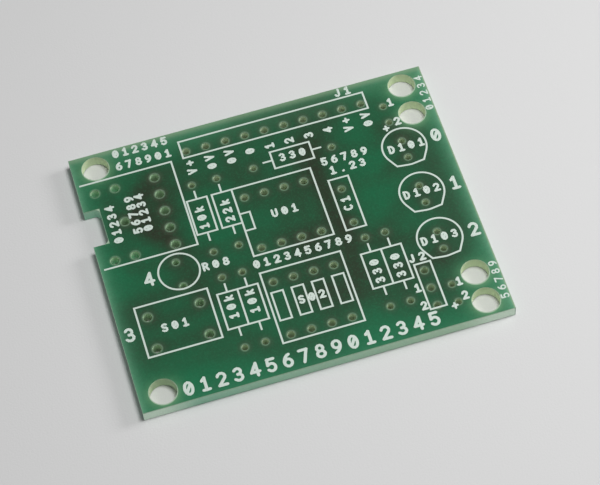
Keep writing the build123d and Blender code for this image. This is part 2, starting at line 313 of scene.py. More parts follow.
def distance_to_segments(points, segments, block=4000):
    """Shortest distance from each point to any segment, and whether the segments enclose it.

    The foot of a point on a segment is clamped to the segment's ends. A point is inside where a
    line from it to the right crosses an odd number of segments.
    """
    start = segments[:, 0]
    along = segments[:, 1] - start
    square = (along ** 2).sum(axis=1)
    best = np.empty(len(points))
    inside = np.empty(len(points), dtype=bool)
    for first in range(0, len(points), block):
        near = points[first:first + block, None, :]
        offset = near - start
        foot = np.clip((offset * along).sum(axis=2) / square, 0, 1)
        gap = offset - foot[:, :, None] * along
        best[first:first + block] = np.sqrt((gap ** 2).sum(axis=2).min(axis=1))
        spans = (start[:, 1] > near[:, :, 1]) != (segments[:, 1, 1] > near[:, :, 1])
        rise = np.where(along[:, 1] == 0, 1, along[:, 1])
        crossing = start[:, 0] + (near[:, :, 1] - start[:, 1]) * along[:, 0] / rise
        hits = (spans & (near[:, :, 0] < crossing)).sum(axis=1)
        inside[first:first + block] = hits % 2 == 1
    return best, inside


LOW, HIGH = (np.array(corner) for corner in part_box("laminate"))
TOP, UNDER = HIGH[2], LOW[2]
LOOPS = closed_loops(*face_outline("laminate", TOP))
OUTLINE = max(LOOPS, key=lambda loop: np.ptp(loop[:, :, 0]))
HOLES = np.array([round_hole(loop) for loop in LOOPS if loop is not OUTLINE])
LARGE_RADIUS = 1.2 * MM
LARGE = HOLES[HOLES[:, 2] > LARGE_RADIUS]
LEADS = HOLES[HOLES[:, 2] <= LARGE_RADIUS]
COPPER = np.concatenate([corners[edges] for corners, edges in
                         (face_outline(name, UNDER) for name in CONDUCTORS)])
PAD_FACE = min(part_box(name)[0][2] for name in CONDUCTORS)


def notch_rectangle(least=0.1 * MM, most=5 * MM):
    """The notch in the left edge: the outline's corners between two distances inwards."""
    points = OUTLINE.reshape(-1, 2)
    inwards = points[:, 0] - LOW[0]
    inner = points[(inwards > least) & (inwards < most)]
    return inner[:, 0].max(), inner[:, 1].min(), inner[:, 1].max()


NOTCH_X, NOTCH_LOW, NOTCH_HIGH = notch_rectangle()


# ---------------------------------------------------------------- meshes

def add_object(name, data):
    """Puts new data into the scene as an object."""
    thing = bpy.data.objects.new(name, data)
    bpy.context.scene.collection.objects.link(thing)
    return thing


def add_mesh(name, points, faces, material, smooth=True):
    """Puts arrays of corners and faces into a mesh object that rides on the board."""
    mesh = bpy.data.meshes.new(name)
    mesh.from_pydata(points.tolist(), [], faces.tolist())
    mesh.update()
    mesh.polygons.foreach_set("use_smooth", np.full(len(mesh.polygons), smooth))
    mesh.materials.append(material)
    piece = add_object(name, mesh)
    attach(piece, BODY)
    return piece


def add_attribute(piece, name, values):
    """Stores one number for each corner of a piece."""
    layer = piece.data.attributes.new(name, "FLOAT", "POINT")
    layer.data.foreach_set("value", values.astype(np.float32))


def grid_lines(stops, cell):
    """Grid lines through every stop, with each stretch between stops cut into equal cells."""
    lines = [np.linspace(low, high, max(1, round((high - low) / cell)) + 1)[:-1]
             for low, high in zip(stops, stops[1:])]
    return np.append(np.concatenate(lines), stops[-1])


COLLAR_RINGS = 3


def coat_sheet(holes, inset, cell):
    """Flat sheet of quads over the board, open at the notch and at each round hole.

    Corners lie on a grid. Round each hole a square block of cells makes way for a collar, whose
    corners run straight from the hole's circle to the block's rim in COLLAR_RINGS equal steps.
    """
    xs = grid_lines([LOW[0] + inset, NOTCH_X + inset, HIGH[0] - inset], cell)
    ys = grid_lines([LOW[1] + inset, NOTCH_LOW - inset, NOTCH_HIGH + inset, HIGH[1] - inset], cell)
    grid = np.stack(np.meshgrid(xs, ys, indexing="ij"), axis=-1)
    number = np.arange(grid[..., 0].size).reshape(grid.shape[:2])
    centre_x = (xs[1:] + xs[:-1]) / 2
    centre_y = (ys[1:] + ys[:-1]) / 2
    kept = ~((centre_x[:, None] < NOTCH_X + inset)
             & (centre_y > NOTCH_LOW - inset) & (centre_y < NOTCH_HIGH + inset))
    points = [grid.reshape(-1, 2)]
    faces = []
    count = number.size
    for x, y, radius in holes:
        i, j = np.abs(xs - x).argmin(), np.abs(ys - y).argmin()
        reach = int(np.ceil((radius + max(abs(xs[i] - x), abs(ys[j] - y))) / cell))
        kept[i - reach:i + reach, j - reach:j + reach] = False
        block = number[i - reach:i + reach + 1, j - reach:j + reach + 1]
        rim = np.concatenate([block[:-1, 0], block[-1, :-1], block[:0:-1, -1], block[0, :0:-1]])
        outer = points[0][rim]
        first = np.arctan2(*(outer[0] - (x, y))[::-1])
        turn = first + np.arange(len(rim)) * 2 * np.pi / len(rim)
        circle = np.stack([x + radius * np.cos(turn), y + radius * np.sin(turn)], axis=1)
        share = np.arange(COLLAR_RINGS)[:, None, None] / COLLAR_RINGS
        rings = circle + (outer - circle) * share
        points.append(rings.reshape(-1, 2))
        ring = np.vstack([count + np.arange(rings[..., 0].size).reshape(COLLAR_RINGS, -1), rim])
        after = np.roll(ring, -1, axis=1)
        faces.append(np.stack([ring[:-1], ring[1:], after[1:], after[:-1]], axis=-1).reshape(-1, 4))
        count += rings[..., 0].size
    quads = np.stack([number[:-1, :-1], number[1:, :-1], number[1:, 1:], number[:-1, 1:]], axis=-1)
    faces.insert(0, quads[kept])
    points = np.concatenate(points)
    faces = np.concatenate(faces)
    used, faces = np.unique(faces, return_inverse=True)
    return points[used], faces.reshape(-1, 4)


def closed_coat(points, faces, upper, lower):
    """Solid coat between two height fields over one sheet, with walls round every rim."""
    count = len(points)
    edges = np.concatenate([faces[:, [k, (k + 1) % 4]] for k in range(4)])
    key = np.sort(edges, axis=1)
    _, index, uses = np.unique(key, axis=0, return_index=True, return_counts=True)
    rim = edges[index[uses == 1]]
    walls = np.stack([rim[:, 1], rim[:, 0], rim[:, 0] + count, rim[:, 1] + count], axis=1)
    corners = np.concatenate([np.column_stack([points, upper]), np.column_stack([points, lower])])
    return corners, np.concatenate([faces, faces[:, ::-1] + count, walls])


def hole_gap(points, holes, most=5.0):
    """Distance in millimetres from each point to the nearest hole's wall, and no more than most."""
    gap = np.full(len(points), np.inf)
    for x, y, radius in holes:
        gap = np.minimum(gap, np.hypot(points[:, 0] - x, points[:, 1] - y) - radius)
    return np.minimum(gap / MM, most)


def bore_glow(points, depth):
    """Light from the wall of a large hole, strongest on the side towards the front edge.

    (0.58 - 0.42 * sin(angle)) * exp(-gap / depth), the largest over the holes.
    """
    glow = np.zeros(len(points))
    for x, y, radius in LARGE:
        reach = np.hypot(points[:, 0] - x, points[:, 1] - y)
        share = 0.58 - 0.42 * (points[:, 1] - y) / reach
        glow = np.maximum(glow, share * np.exp((radius - reach) / depth))
    return glow


def rim_glow(points, depth):
    """Light that enters at cut edges, the largest over them at each point.

    share * (exp(-d / depth) + far * exp(-d / 5 depth)), where d is the distance from the cut. The
    right and back edges face the light and have most of it, and the front edge has little.
    """
    x, y = points[:, 0], points[:, 1]
    beside = np.maximum(NOTCH_LOW - y, y - NOTCH_HIGH)
    notch = np.hypot(np.maximum(x - NOTCH_X, 0), np.maximum(beside, 0))
    # Share, far and distance for the right, back, left and front edges and for the notch
    cuts = ((1.0, 0.24, HIGH[0] - x), (0.85, 0.20, HIGH[1] - y), (0.75, 0.12, x - LOW[0]),
            (0.08, 1.0, y - LOW[1]), (0.15, 0.1, notch))
    glow = np.zeros(len(points))
    for share, far, distance in cuts:
        away = np.abs(distance) / depth
        glow = np.maximum(glow, share * (np.exp(-away) + far * np.exp(-away / 5)))
    return glow


def gaussian_rows(places, centres, sigma):
    """Weights of a Gaussian about each place over equally spaced centres, summing to one."""
    weight = np.exp(-0.5 * ((places[:, None] - centres) / sigma) ** 2)
    return weight / weight.sum(axis=1, keepdims=True)


class CopperMap:
    """Where copper lies, as a raster of ones and zeros over the board."""

    def __init__(self, cell):
        self.xs = np.arange(LOW[0] + cell / 2, HIGH[0], cell)
        self.ys = np.arange(LOW[1] + cell / 2, HIGH[1], cell)
        spots = np.stack(np.meshgrid(self.xs, self.ys, indexing="ij"), axis=-1).reshape(-1, 2)
        _, inside = distance_to_segments(spots, COPPER)
        self.cover = inside.astype(float).reshape(len(self.xs), len(self.ys))

    def blurred(self, points, sigma):
        """Share of copper near each point: the raster blurred along x and along y by a Gaussian.

        Gx * cover * Gy', read between its four nearest cells by bilinear weights.
        """
        smooth = gaussian_rows(self.xs, self.xs, sigma) @ self.cover
        smooth = smooth @ gaussian_rows(self.ys, self.ys, sigma).T
        i, s = self.cell_of(points[:, 0], self.xs)
        j, t = self.cell_of(points[:, 1], self.ys)
        return ((1 - s) * (1 - t) * smooth[i, j] + s * (1 - t) * smooth[i + 1, j]
                + (1 - s) * t * smooth[i, j + 1] + s * t * smooth[i + 1, j + 1])

    @staticmethod
    def cell_of(places, centres):
        """Number of the cell before each place, and the share of the way to the next one."""
        steps = np.interp(places, centres, np.arange(len(centres)))
        number = np.minimum(steps.astype(int), len(centres) - 2)
        return number, steps - number


def copper_field(points, least=-1.5, most=3.0):
    """Signed distance in millimetres to the copper's outline, negative over copper."""
    near, inside = distance_to_segments(points, COPPER)
    return np.clip(np.where(inside, -near, near) / MM, least, most)


# ---------------------------------------------------------------- shader maths

def operators(operation):
    """An operator and its reflected form, each of which adds one Math node."""
    return (lambda left, right: left.maths(operation, left, right),
            lambda right, left: right.maths(operation, left, right))


class Shade:
    """A shader socket that takes part in arithmetic."""

    def __init__(self, nodes, socket):
        self.nodes = nodes
        self.socket = socket

    __add__, __radd__ = operators("ADD")
    __sub__, __rsub__ = operators("SUBTRACT")
    __mul__, __rmul__ = operators("MULTIPLY")
    __truediv__, __rtruediv__ = operators("DIVIDE")

    def maths(self, operation, *values):
        """Adds one Math node."""
        return self.nodes.add("ShaderNodeMath", {"operation": operation}, *values)

    def clamp(self):
        """The value, held between zero and one."""
        return self.maths("MINIMUM", self.maths("MAXIMUM", self, 0.0), 1.0)

    def absolute(self):
        """The value without its sign."""
        return self.maths("ABSOLUTE", self)

    def sine(self):
        """Sine of the value, in radians."""
        return self.maths("SINE", self)

    def step(self):
        """One where the value is above zero, else nothing."""
        return self.maths("GREATER_THAN", self, 0.0)

    def fade(self, start, end):
        """One at start and beyond it, falling smoothly to zero at end."""
        return self.nodes.add("ShaderNodeMapRange", {"interpolation_type": "SMOOTHSTEP"},
                              self, start, end, 1.0, 0.0)


OBJECT_OUTPUT, NUMBER_OUTPUT = 3, 2  # of the Texture Coordinate and of the Attribute node


class Finish:
    """A material under construction: one Principled shader and the nodes that feed it.

    A constant that nodes replace later stays behind them, for what reads only plain values.
    """

    def __init__(self, name, **constants):
        self.material = bpy.data.materials.new(name)
        self.material.use_nodes = True
        self.tree = self.material.node_tree
        self.shader = self.tree.nodes["Principled BSDF"]
        for key, value in constants.items():
            socket = key.replace("_", " ").title().replace("Ior", "IOR")
            self.shader.inputs[socket].default_value = value

    def add(self, kind, settings=None, *inputs, output=0):
        """Adds a node: its settings first, then a value or a link for each of its sockets."""
        node = self.tree.nodes.new(kind)
        for key, value in (settings or {}).items():
            setattr(node, key, value)
        sockets = [socket for socket in node.inputs if socket.enabled]
        for socket, value in zip(sockets, inputs):
            if isinstance(value, Shade):
                self.tree.links.new(value.socket, socket)
            else:
                socket.default_value = value
        outputs = [socket for socket in node.outputs if socket.enabled]
        return Shade(self, outputs[output])

    def place(self):
        """Object coordinates in metres."""
        return self.add("ShaderNodeTexCoord", None, output=OBJECT_OUTPUT)

    def axis(self, index):
        """One axis of the object coordinates, in millimetres."""
        return self.add("ShaderNodeSeparateXYZ", None, self.place(), output=index) / MM

    def attribute(self, name):
        """A number that the mesh stores at its corners."""
        return self.add("ShaderNodeAttribute", {"attribute_name": name}, output=NUMBER_OUTPUT)

    def noise(self, size_mm, detail=3.0, roughness=0.5, stretch=(1.0, 1.0, 1.0)):
        """Noise whose features are about size_mm across."""
        scaled = self.add("ShaderNodeVectorMath", {"operation": "MULTIPLY"}, self.place(), stretch)
        return self.add("ShaderNodeTexNoise", None, scaled, 1.0 / (size_mm * MM), detail, roughness)

    def mix(self, mask, low, high):
        """Goes from one colour to another by a mask."""
        ends = (value if isinstance(value, Shade) else (*value, 1.0) for value in (low, high))
        return self.add("ShaderNodeMix", {"data_type": "RGBA"}, mask, *ends)

    def over(self, base, *coats):
        """Lays colours over a base one after another, each by its mask."""
        for mask, coat in coats:
            base = self.mix(mask, base, coat)
        return base

    def use(self, socket, value):
        """Feeds one socket of the shader."""
        self.tree.links.new(value.socket, self.shader.inputs[socket])

    def bump(self, height, distance):
        """Lights the surface as if it rose by distance where height is one."""
        self.use("Normal", self.add("ShaderNodeBump", None, 1.0, distance, 1.0, height))


# ---------------------------------------------------------------- finishes

def weave(finish, pitch_mm):
    """Plain weave of the glass cloth: the product of two waves a thread apart, from -1 to 1."""
    turn = 2 * np.pi / pitch_mm
    return (finish.axis(0) * turn).sine() * (finish.axis(1) * turn).sine()


def printed_side_finish(sizes):
    """Resist seen with light scattered in the laminate below it.

    The green is darker over copper, paler towards cut edges, and crazed pale at each drilled hole.
    """
    finish = Finish("resist printed side", roughness=0.36, specular_ior_level=0.14)
    shade = finish.attribute("shade")
    hole = finish.attribute("hole")
    rim = finish.attribute("rim")
    cloud = finish.noise(5.0, detail=2.0)
    mottle = finish.noise(0.8, detail=3.0)
    speck = finish.noise(0.2, detail=2.0)
    # Copper darkens the middle of the board more than its front and back
    inner = 1.14 - finish.axis(1).absolute().fade(18.0, 10.0) * 0.38
    depth = shade * inner * 2.6 + (cloud - 0.5) * 0.35 + (mottle - 0.5) * 0.16
    lit = rim * (1.0 - shade * 1.9) * (0.75 + mottle * 0.5)
    bore = finish.attribute("bore") * (0.75 + mottle * 0.5)
    right = HIGH[0] / MM - finish.axis(0)
    back = HIGH[1] / MM - finish.axis(1)
    # Painted sheen along the back edge: a strip about 1 mm deep and a fainter one 4.5 mm deep
    thin = back.fade(0.05, 1.0) * 0.5 + back.fade(0.3, 4.5) * 0.08
    halo = finish.mix((shade * 3.0).clamp(), sizes.clear_halo, sizes.halo)
    base = finish.over(
        sizes.green,
        (depth.clamp(), sizes.shaded_green),
        ((0.0 - depth).clamp(), sizes.light_green),
        (lit.clamp(), sizes.rim_green),
        # Painted light from the walls of the large holes
        (bore, sizes.bore_light_green),
        (right.fade(0.0, 0.28) * 0.45, sizes.worn_edge),
        (thin, sizes.back_sheen),
        # Painted shade of the pads below, round each lead hole over copper
        (hole.fade(0.1, 0.85) * shade * 0.9, sizes.pad_shade),
        (hole.fade(0.02, 0.27) * 0.95, halo),
        ((speck - 0.5).clamp() * 0.5, tuple(2.2 * c for c in sizes.green)),
        ((0.5 - speck).clamp() * 0.5, tuple(0.4 * c for c in sizes.green)))
    finish.use("Base Color", base)
    finish.use("Roughness", 0.30 + mottle * 0.12)
    finish.bump(mottle + speck * 0.3, 0.004 * MM)
    return finish.material


def copper_side_finish(sizes):
    """Resist on the copper side: lighter over copper, deeper green between the tracks."""
    finish = Finish("resist copper side", roughness=0.34, specular_ior_level=0.5)
    copper = finish.attribute("copper")
    rim = finish.attribute("rim")
    mottle = finish.noise(0.8, detail=3.0)
    base = finish.over(
        sizes.green,
        (copper.fade(-0.02, 0.06), sizes.track_green),
        (rim * 0.6, sizes.rim_green),
        ((mottle - 0.3).clamp() * 0.3, sizes.shaded_green))
    finish.use("Base Color", base)
    finish.use("Roughness", 0.28 + mottle * 0.14)
    finish.bump(mottle + weave(finish, 0.9) * 0.4, 0.004 * MM)
    return finish.material


# Places in millimetres that tell one wall of the laminate from another. A routed wall lies within
# CUT_DEPTH of the outline. The large holes lie beyond SCREW_X and SCREW_Y, and on the right beyond
# CABLE_Y. The socket and the button have the leads left of SOCKET_X, and the socket's pegs the
# holes beyond PEG_X and PEG_Y, at least PEG_CLEAR from the notch's middle line.
CUT_DEPTH = 0.12
FACE_SHARE = 0.985  # of the sheet's height, above which its bare upper face shows
SIDE, END = HIGH[0] / MM - CUT_DEPTH, HIGH[1] / MM - CUT_DEPTH
SCREW_X, SCREW_Y, CABLE_Y = 17.7, 14.0, 9.9
SOCKET_X, PEG_X, PEG_Y, PEG_CLEAR = -11.5, -17.5, 2.0, 3.0


def laminate_finish(sizes):
    """Cut glass epoxy in thin layers of cloth.

    The routed edge is greenest, the large bores are beige and the lead holes olive. All of them
    give out a little of the light that enters the sheet through the resist.
    """
    finish = Finish("glass epoxy", roughness=0.62, specular_ior_level=0.35, emission_strength=1.0)
    x, y = finish.axis(0), finish.axis(1)
    across, along = x.absolute(), y.absolute()
    height = ((finish.axis(2) - UNDER / MM) / ((TOP - UNDER) / MM)).clamp()
    layers = finish.noise(0.5, detail=4.0, roughness=0.6, stretch=(0.35, 0.35, 6.0))
    fray = finish.noise(0.12, detail=3.0)
    side_cut, end_cut = (across - SIDE).step(), (along - END).step()
    from_notch = (y - (NOTCH_HIGH + NOTCH_LOW) / 2 / MM).absolute()
    notch_reach = (NOTCH_HIGH - NOTCH_LOW) / 2 / MM + CUT_DEPTH
    notch = (NOTCH_X / MM + CUT_DEPTH - x).step() * (notch_reach - from_notch).step()
    routed = side_cut + end_cut + notch
    wide = (across - SCREW_X).step() * (along - SCREW_Y).step()
    wide = wide + (x - SCREW_X).step() * (along - CABLE_Y).step()
    left = (SOCKET_X - x).step()
    peg = (PEG_X - x).step() * (y - PEG_Y).step() * (from_notch - PEG_CLEAR).step()
    # Painted shade down each lead hole: the wall darkens away from the printed side
    wall = finish.mix(height.fade(0.98, 0.28),
                      finish.over(sizes.drilled, (left, sizes.drilled_green),
                                  (peg, sizes.drilled_clear)),
                      finish.mix(left, sizes.drilled_rim, sizes.drilled_green_rim))
    dim = (0.0 - x).step() * ((0.0 - y).step() * 0.75 + 0.25)
    bore = finish.mix(dim, sizes.bore, sizes.bore_dim)
    # Painted light: the routed edge grows paler upwards and towards the right
    side = ((x + 16.0) / 34.0).clamp() * end_cut
    edge = finish.over(
        finish.mix(side, sizes.cut_edge_low, sizes.cut_edge_low_right),
        (height, finish.mix(side, sizes.cut_edge, sizes.cut_edge_right)),
        (across.fade(21.0, 15.5) * end_cut * 0.85, sizes.cut_edge_end),
        # Painted shade on the right routed edge, which the side lamp meets
        ((x - SIDE).step() * 0.75, sizes.right_edge_shade),
        (height.fade(1.0, 0.86) * 0.6, sizes.cut_edge_lip))
    face = (height - FACE_SHARE).step()
    open_wall = (wide + routed).clamp()
    base = finish.over(
        wall,
        (wide.clamp(), bore),
        (routed.clamp(), edge),
        ((layers - 0.45).clamp() * 0.9, sizes.fibre),
        ((0.5 - fray).clamp() * 0.8, sizes.fray))
    # Bare collar at lead holes, and a painted highlight on the bare rim at edges and large holes
    base = finish.mix(face, base, finish.mix(open_wall, sizes.collar, sizes.bare))
    glow = finish.mix(face, finish.mix(open_wall, sizes.glow, sizes.bore_glow), (0.0, 0.0, 0.0))
    finish.use("Base Color", base)
    finish.use("Emission Color", glow)
    finish.use("Roughness", 0.55 + fray * 0.25)
    finish.bump(layers + fray * 0.6, 0.02 * MM)
    return finish.material


def tin_finish(sizes):
    """Levelled solder on the pads: bright, a little uneven and dull in patches."""
    finish = Finish("levelled tin", roughness=0.3, metallic=1.0)
    cloud = finish.noise(0.7, detail=3.0)
    grain = finish.noise(0.1, detail=2.0)
    base = finish.mix(cloud, tuple(0.8 * c for c in sizes.tin), sizes.tin)
    finish.use("Base Color", base)
    finish.use("Roughness", 0.18 + cloud * 0.3)
    finish.bump(cloud * 2.0 + grain * 0.4, 0.012 * MM)
    return finish.material


def ink_finish(sizes):
    """Screened white ink: matt, slightly grainy, with the green showing where it is thin."""
    finish = Finish("legend ink", roughness=0.6, specular_ior_level=0.3)
    grain = finish.noise(0.07, detail=2.0)
    cloud = finish.noise(1.6, detail=3.0)
    thin = (grain - 0.5).clamp() * 0.5 + (cloud - 0.5).clamp() * 0.4
    base = finish.mix(thin, sizes.ink, sizes.thin_ink)
    finish.use("Base Color", base)
    finish.use("Roughness", 0.5 + grain * 0.25)
    finish.bump(grain, 0.006 * MM)
    return finish.material


def paper_finish(stage):
    """Smooth office paper with a fine tooth."""
    finish = Finish("paper", roughness=0.85, specular_ior_level=0.2)
    tooth = finish.noise(0.25, detail=4.0)
    cloud = finish.noise(30.0, detail=2.0)
    dip = (tooth - 0.5).clamp() * 0.25 + (cloud - 0.5).clamp() * 0.12
    base = finish.mix(dip, stage.paper, tuple(0.93 * c for c in stage.paper))
    finish.use("Base Color", base)
    finish.bump(tooth, 0.02 * MM)
    return finish.material


# ---------------------------------------------------------------- characters

def bow(cx, cy, rx, ry, start, end, count=14):
    """Points on an ellipse's arc from one angle in degrees to another."""
    turn = np.radians(np.linspace(start, end, count))
    return np.stack([cx + rx * np.cos(turn), cy + ry * np.sin(turn)], axis=1)


def runs(*points):
    """Straight strokes from each point to the next."""
    points = np.array(points, dtype=float)
    return [points[k:k + 2] for k in range(len(points) - 1)]


GLYPHS = {
    "0": [bow(0.35, 0.5, 0.33, 0.5, 0, 360, 28), *runs((0.2, 0.28), (0.5, 0.72))],
    "1": runs((0.12, 0.8), (0.36, 1), (0.36, 0)) + runs((0.1, 0), (0.62, 0)),
    "2": [bow(0.35, 0.72, 0.32, 0.28, 165, -35), *runs((0.61, 0.56), (0.04, 0), (0.68, 0))],
    "3": [bow(0.33, 0.75, 0.28, 0.25, 150, -90), bow(0.33, 0.26, 0.33, 0.26, 90, -150)],
    "4": runs((0.52, 0), (0.52, 1), (0.02, 0.3), (0.7, 0.3)),
    "5": runs((0.62, 1), (0.1, 1), (0.06, 0.56)) + [bow(0.33, 0.32, 0.34, 0.32, 140, -145)],
    "6": [bow(0.36, 0.31, 0.32, 0.31, 0, 360, 24), bow(0.74, 0.33, 0.7, 0.68, 175, 108)],
    "7": runs((0.04, 1), (0.66, 1), (0.26, 0)),
    "8": [bow(0.35, 0.75, 0.27, 0.25, 0, 360, 22), bow(0.35, 0.26, 0.33, 0.26, 0, 360, 22)],
    "9": [bow(0.34, 0.69, 0.32, 0.31, 0, 360, 24), bow(-0.04, 0.67, 0.7, 0.68, -5, -72)],
    "+": runs((0.35, 0.14), (0.35, 0.78)) + runs((0.03, 0.46), (0.67, 0.46)),
    ".": runs((0.3, 0), (0.34, 0.03)),
    "C": [bow(0.38, 0.5, 0.35, 0.5, 52, 308, 20)],
    "D": runs((0.05, 0), (0.05, 1), (0.3, 1)) + [bow(0.3, 0.5, 0.37, 0.5, 90, -90, 18)]
    + runs((0.3, 0), (0.05, 0)),
    "J": runs((0.55, 1), (0.55, 0.28)) + [bow(0.29, 0.28, 0.26, 0.28, 0, -165)],
    "R": runs((0.05, 0), (0.05, 1), (0.38, 1)) + [bow(0.38, 0.74, 0.27, 0.26, 90, -90)]
    + runs((0.38, 0.48), (0.05, 0.48)) + runs((0.36, 0.48), (0.66, 0)),
    "S": [bow(0.35, 0.75, 0.3, 0.25, 35, 265), bow(0.35, 0.26, 0.32, 0.26, 90, -150)],
    "U": runs((0.05, 1), (0.05, 0.34)) + [bow(0.36, 0.34, 0.31, 0.34, 180, 360, 18)]
    + runs((0.67, 0.34), (0.67, 1)),
    "V": runs((0.02, 1), (0.35, 0), (0.68, 1)),
    "k": runs((0.08, 0), (0.08, 1)) + runs((0.56, 0.66), (0.1, 0.28)) + runs((0.24, 0.4), (0.6, 0)),
}
# Step from one character to the next and width of a character, as shares of its height, and the
# width at which GLYPHS draws one
ADVANCE, GLYPH_WIDTH, DRAWN_WIDTH = 0.985, 0.62, 0.7
# A stroke's section and end cap, its cap's narrowest share, and its points' spacing in half widths
ACROSS = np.linspace(-1, 1, 5)
CAP_TURN = np.radians(np.linspace(-90, 0, 4))
CAP_END, STROKE_STEP = 0.02, 1.2


def ribbon(path, half_width, base, height):
    """Stroke of ink along a path, with round ends and a crowned section.

    A point is path(s) + t * half_width * w(s) * normal(s), with t from -1 to 1. The share w is one
    along the path and closes as a quarter circle over each end cap, down to CAP_END. The height
    is base + height * (1 - t^4) * sqrt(w(s)).
    """
    length = np.append(0, np.cumsum(np.hypot(*np.diff(path, axis=0).T)))
    count = max(3, int(length[-1] / (STROKE_STEP * half_width)) + 2)
    along = np.linspace(0, length[-1], count)
    middle = np.stack([np.interp(along, length, path[:, k]) for k in (0, 1)], axis=1)
    tangent = np.gradient(middle, axis=0)
    tangent /= np.linalg.norm(tangent, axis=1)[:, None]
    reach = half_width * np.sin(CAP_TURN)[:-1, None]
    middle = np.vstack([middle[0] + reach * tangent[0], middle,
                        middle[-1] - reach[::-1] * tangent[-1]])
    close = np.maximum(np.cos(CAP_TURN)[:-1], CAP_END)
    width = np.concatenate([close, np.ones(count), close[::-1]])
    tangent = np.vstack([np.repeat(tangent[:1], len(close), 0), tangent,
                         np.repeat(tangent[-1:], len(close), 0)])
    normal = np.stack([-tangent[:, 1], tangent[:, 0]], axis=1)
    spot = middle[:, None] + normal[:, None] * (ACROSS[:, None] * half_width) * width[:, None, None]
    crown = base + height * (1 - ACROSS ** 4) * np.sqrt(width)[:, None]
    points = np.concatenate([spot, crown[..., None]], axis=2)
    number = np.arange(points[..., 0].size).reshape(points.shape[:2])
    faces = np.stack([number[:-1, :-1], number[1:, :-1], number[1:, 1:], number[:-1, 1:]], axis=-1)
    return points.reshape(-1, 3), faces.reshape(-1, 4)[:, ::-1]


def line_width(cap, stroke):
    """Outer width of one character: its drawn width and the stroke's own width."""
    return GLYPH_WIDTH * (cap - stroke) + stroke


def write(text, middle, cap, stroke, turn=0.0, advance=None):
    """Strokes of a line of characters, centred on a spot and turned by an angle in degrees."""
    advance = advance or ADVANCE * cap
    wide = (len(text) - 1) * advance + line_width(cap, stroke)
    angle = np.radians(turn)
    axes = np.array([[np.cos(angle), np.sin(angle)], [-np.sin(angle), np.cos(angle)]])
    inner = (cap - stroke) * np.array([GLYPH_WIDTH / DRAWN_WIDTH, 1.0])
    strokes = []
    for index, letter in enumerate(text):
        for path in GLYPHS[letter]:
            flat = path * inner + stroke / 2 + (index * advance - wide / 2, -cap / 2)
            strokes.append((flat @ axes + middle, stroke / 2))
    return strokes


INK_BASE = TOP + 0.016 * MM


def add_lettering(name, strokes, material):
    """One piece of ink that holds many strokes, from just inside the coat to the legend's top."""
    height = CAD_BOX[1][2] - INK_BASE
    points, faces, count = [], [], 0
    for path, half_width in strokes:
        corners, quads = ribbon(path, half_width, INK_BASE, height)
        points.append(corners)
        faces.append(quads + count)
        count += len(corners)
    return add_mesh(name, np.concatenate(points), np.concatenate(faces), material)


# Marks at the header's leads, and their place from the first lead and the outline's lower side
LEAD_MARKS = ("V+", "0V", "0V", "0", "1", "2", "3", "4", "V+", "0V")
LEAD_MARK_X, LEAD_MARK_Y = -0.06 * MM, -1.47 * MM
# Mark, the solid it belongs to, and its place from that solid's middle in millimetres
PART_MARKS = (
    ("U01", "legend_microcontroller", 1.59, -0.47), ("S01", "legend_button", -0.43, -0.14),
    ("S02", "legend_switch_bank", -0.02, 0.04), ("J1", "legend_header", 9.70, 2.16),
    ("J2", "legend_link_header", -0.34, 4.18), ("R08", "legend_sensor", 4.51, -0.35),
    ("D101", "legend_led_1", 0.24, 0.02), ("D102", "legend_led_2", -0.02, 0.04),
    ("D103", "legend_led_3", -0.05, 0.02), ("330", "legend_resistor_3", 0.06, 0.09))
# The same for marks that read upwards
UPRIGHT_MARKS = (
    ("C1", "legend_capacitor", -0.06, -0.06), ("10k", "legend_resistor_1", -0.11, -0.27),
    ("22k", "legend_resistor_1", 3.14, -0.27), ("10k", "legend_resistors_4_5", -1.36, 0.39),
    ("10k", "legend_resistors_4_5", 1.24, 0.39), ("330", "legend_resistors_6_7", -1.36, -0.30),
    ("330", "legend_resistors_6_7", 1.28, -0.30))
# The same for the bold channel numbers
CHANNEL_MARKS = (
    ("0", "legend_led_1", 4.24, 0.43), ("1", "legend_led_2", 4.24, -0.03),
    ("2", "legend_led_3", 4.30, -0.17), ("3", "legend_button", -5.96, 0.18),
    ("4", "legend_sensor", -3.76, 0.05))
# The same for the wires' numbers and signs, from the middle of the board
WIRE_MARKS = tuple((text, "laminate", x, y) for text, x, y in (
    ("1", 17.84, 14.47), ("2", 17.84, 11.47), ("+", 16.18, 10.84), ("1", 12.74, -12.43),
    ("2", 12.74, -14.99), ("1", 17.74, -13.03), ("2", 17.84, -15.09), ("+", 16.24, -16.09)))
# Digits, middle and length in millimetres, turn in degrees, height and stroke in millimetres
DIGIT_LINES = (
    ("012345", -13.97, 17.80, 7.2, 0, 1.3, 0.35), ("678901", -13.97, 15.88, 7.25, 0, 1.3, 0.35),
    ("01234", 22.32, 14.52, 5.45, 90, 1.1, 0.22), ("56789", 22.34, -14.29, 5.5, 90, 1.1, 0.22),
    ("56789", 9.95, 8.50, 6.1, 0, 1.3, 0.35), ("1.23", 9.93, 6.95, 4.75, 0, 1.3, 0.35),
    ("01234", -19.80, 7.76, 5.7, 90, 1.3, 0.35), ("56789", -17.19, 8.37, 5.7, 90, 1.3, 0.35),
    ("01234", -15.92, 8.36, 5.7, 90, 1.3, 0.35), ("0123456789", 1.11, -3.18, 12.6, 0, 1.3, 0.35),
    ("0123456789012345", -1.84, -17.07, 31.8, 0, 2.06, 0.45))


def middle_of(name):
    """Middle of a solid's box, seen from above."""
    low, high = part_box(name)
    return np.array([(low[0] + high[0]) / 2, (low[1] + high[1]) / 2])


# ---------------------------------------------------------------- operators

NEAR_SHARE = 0.35  # of the copper's shadow is sharp
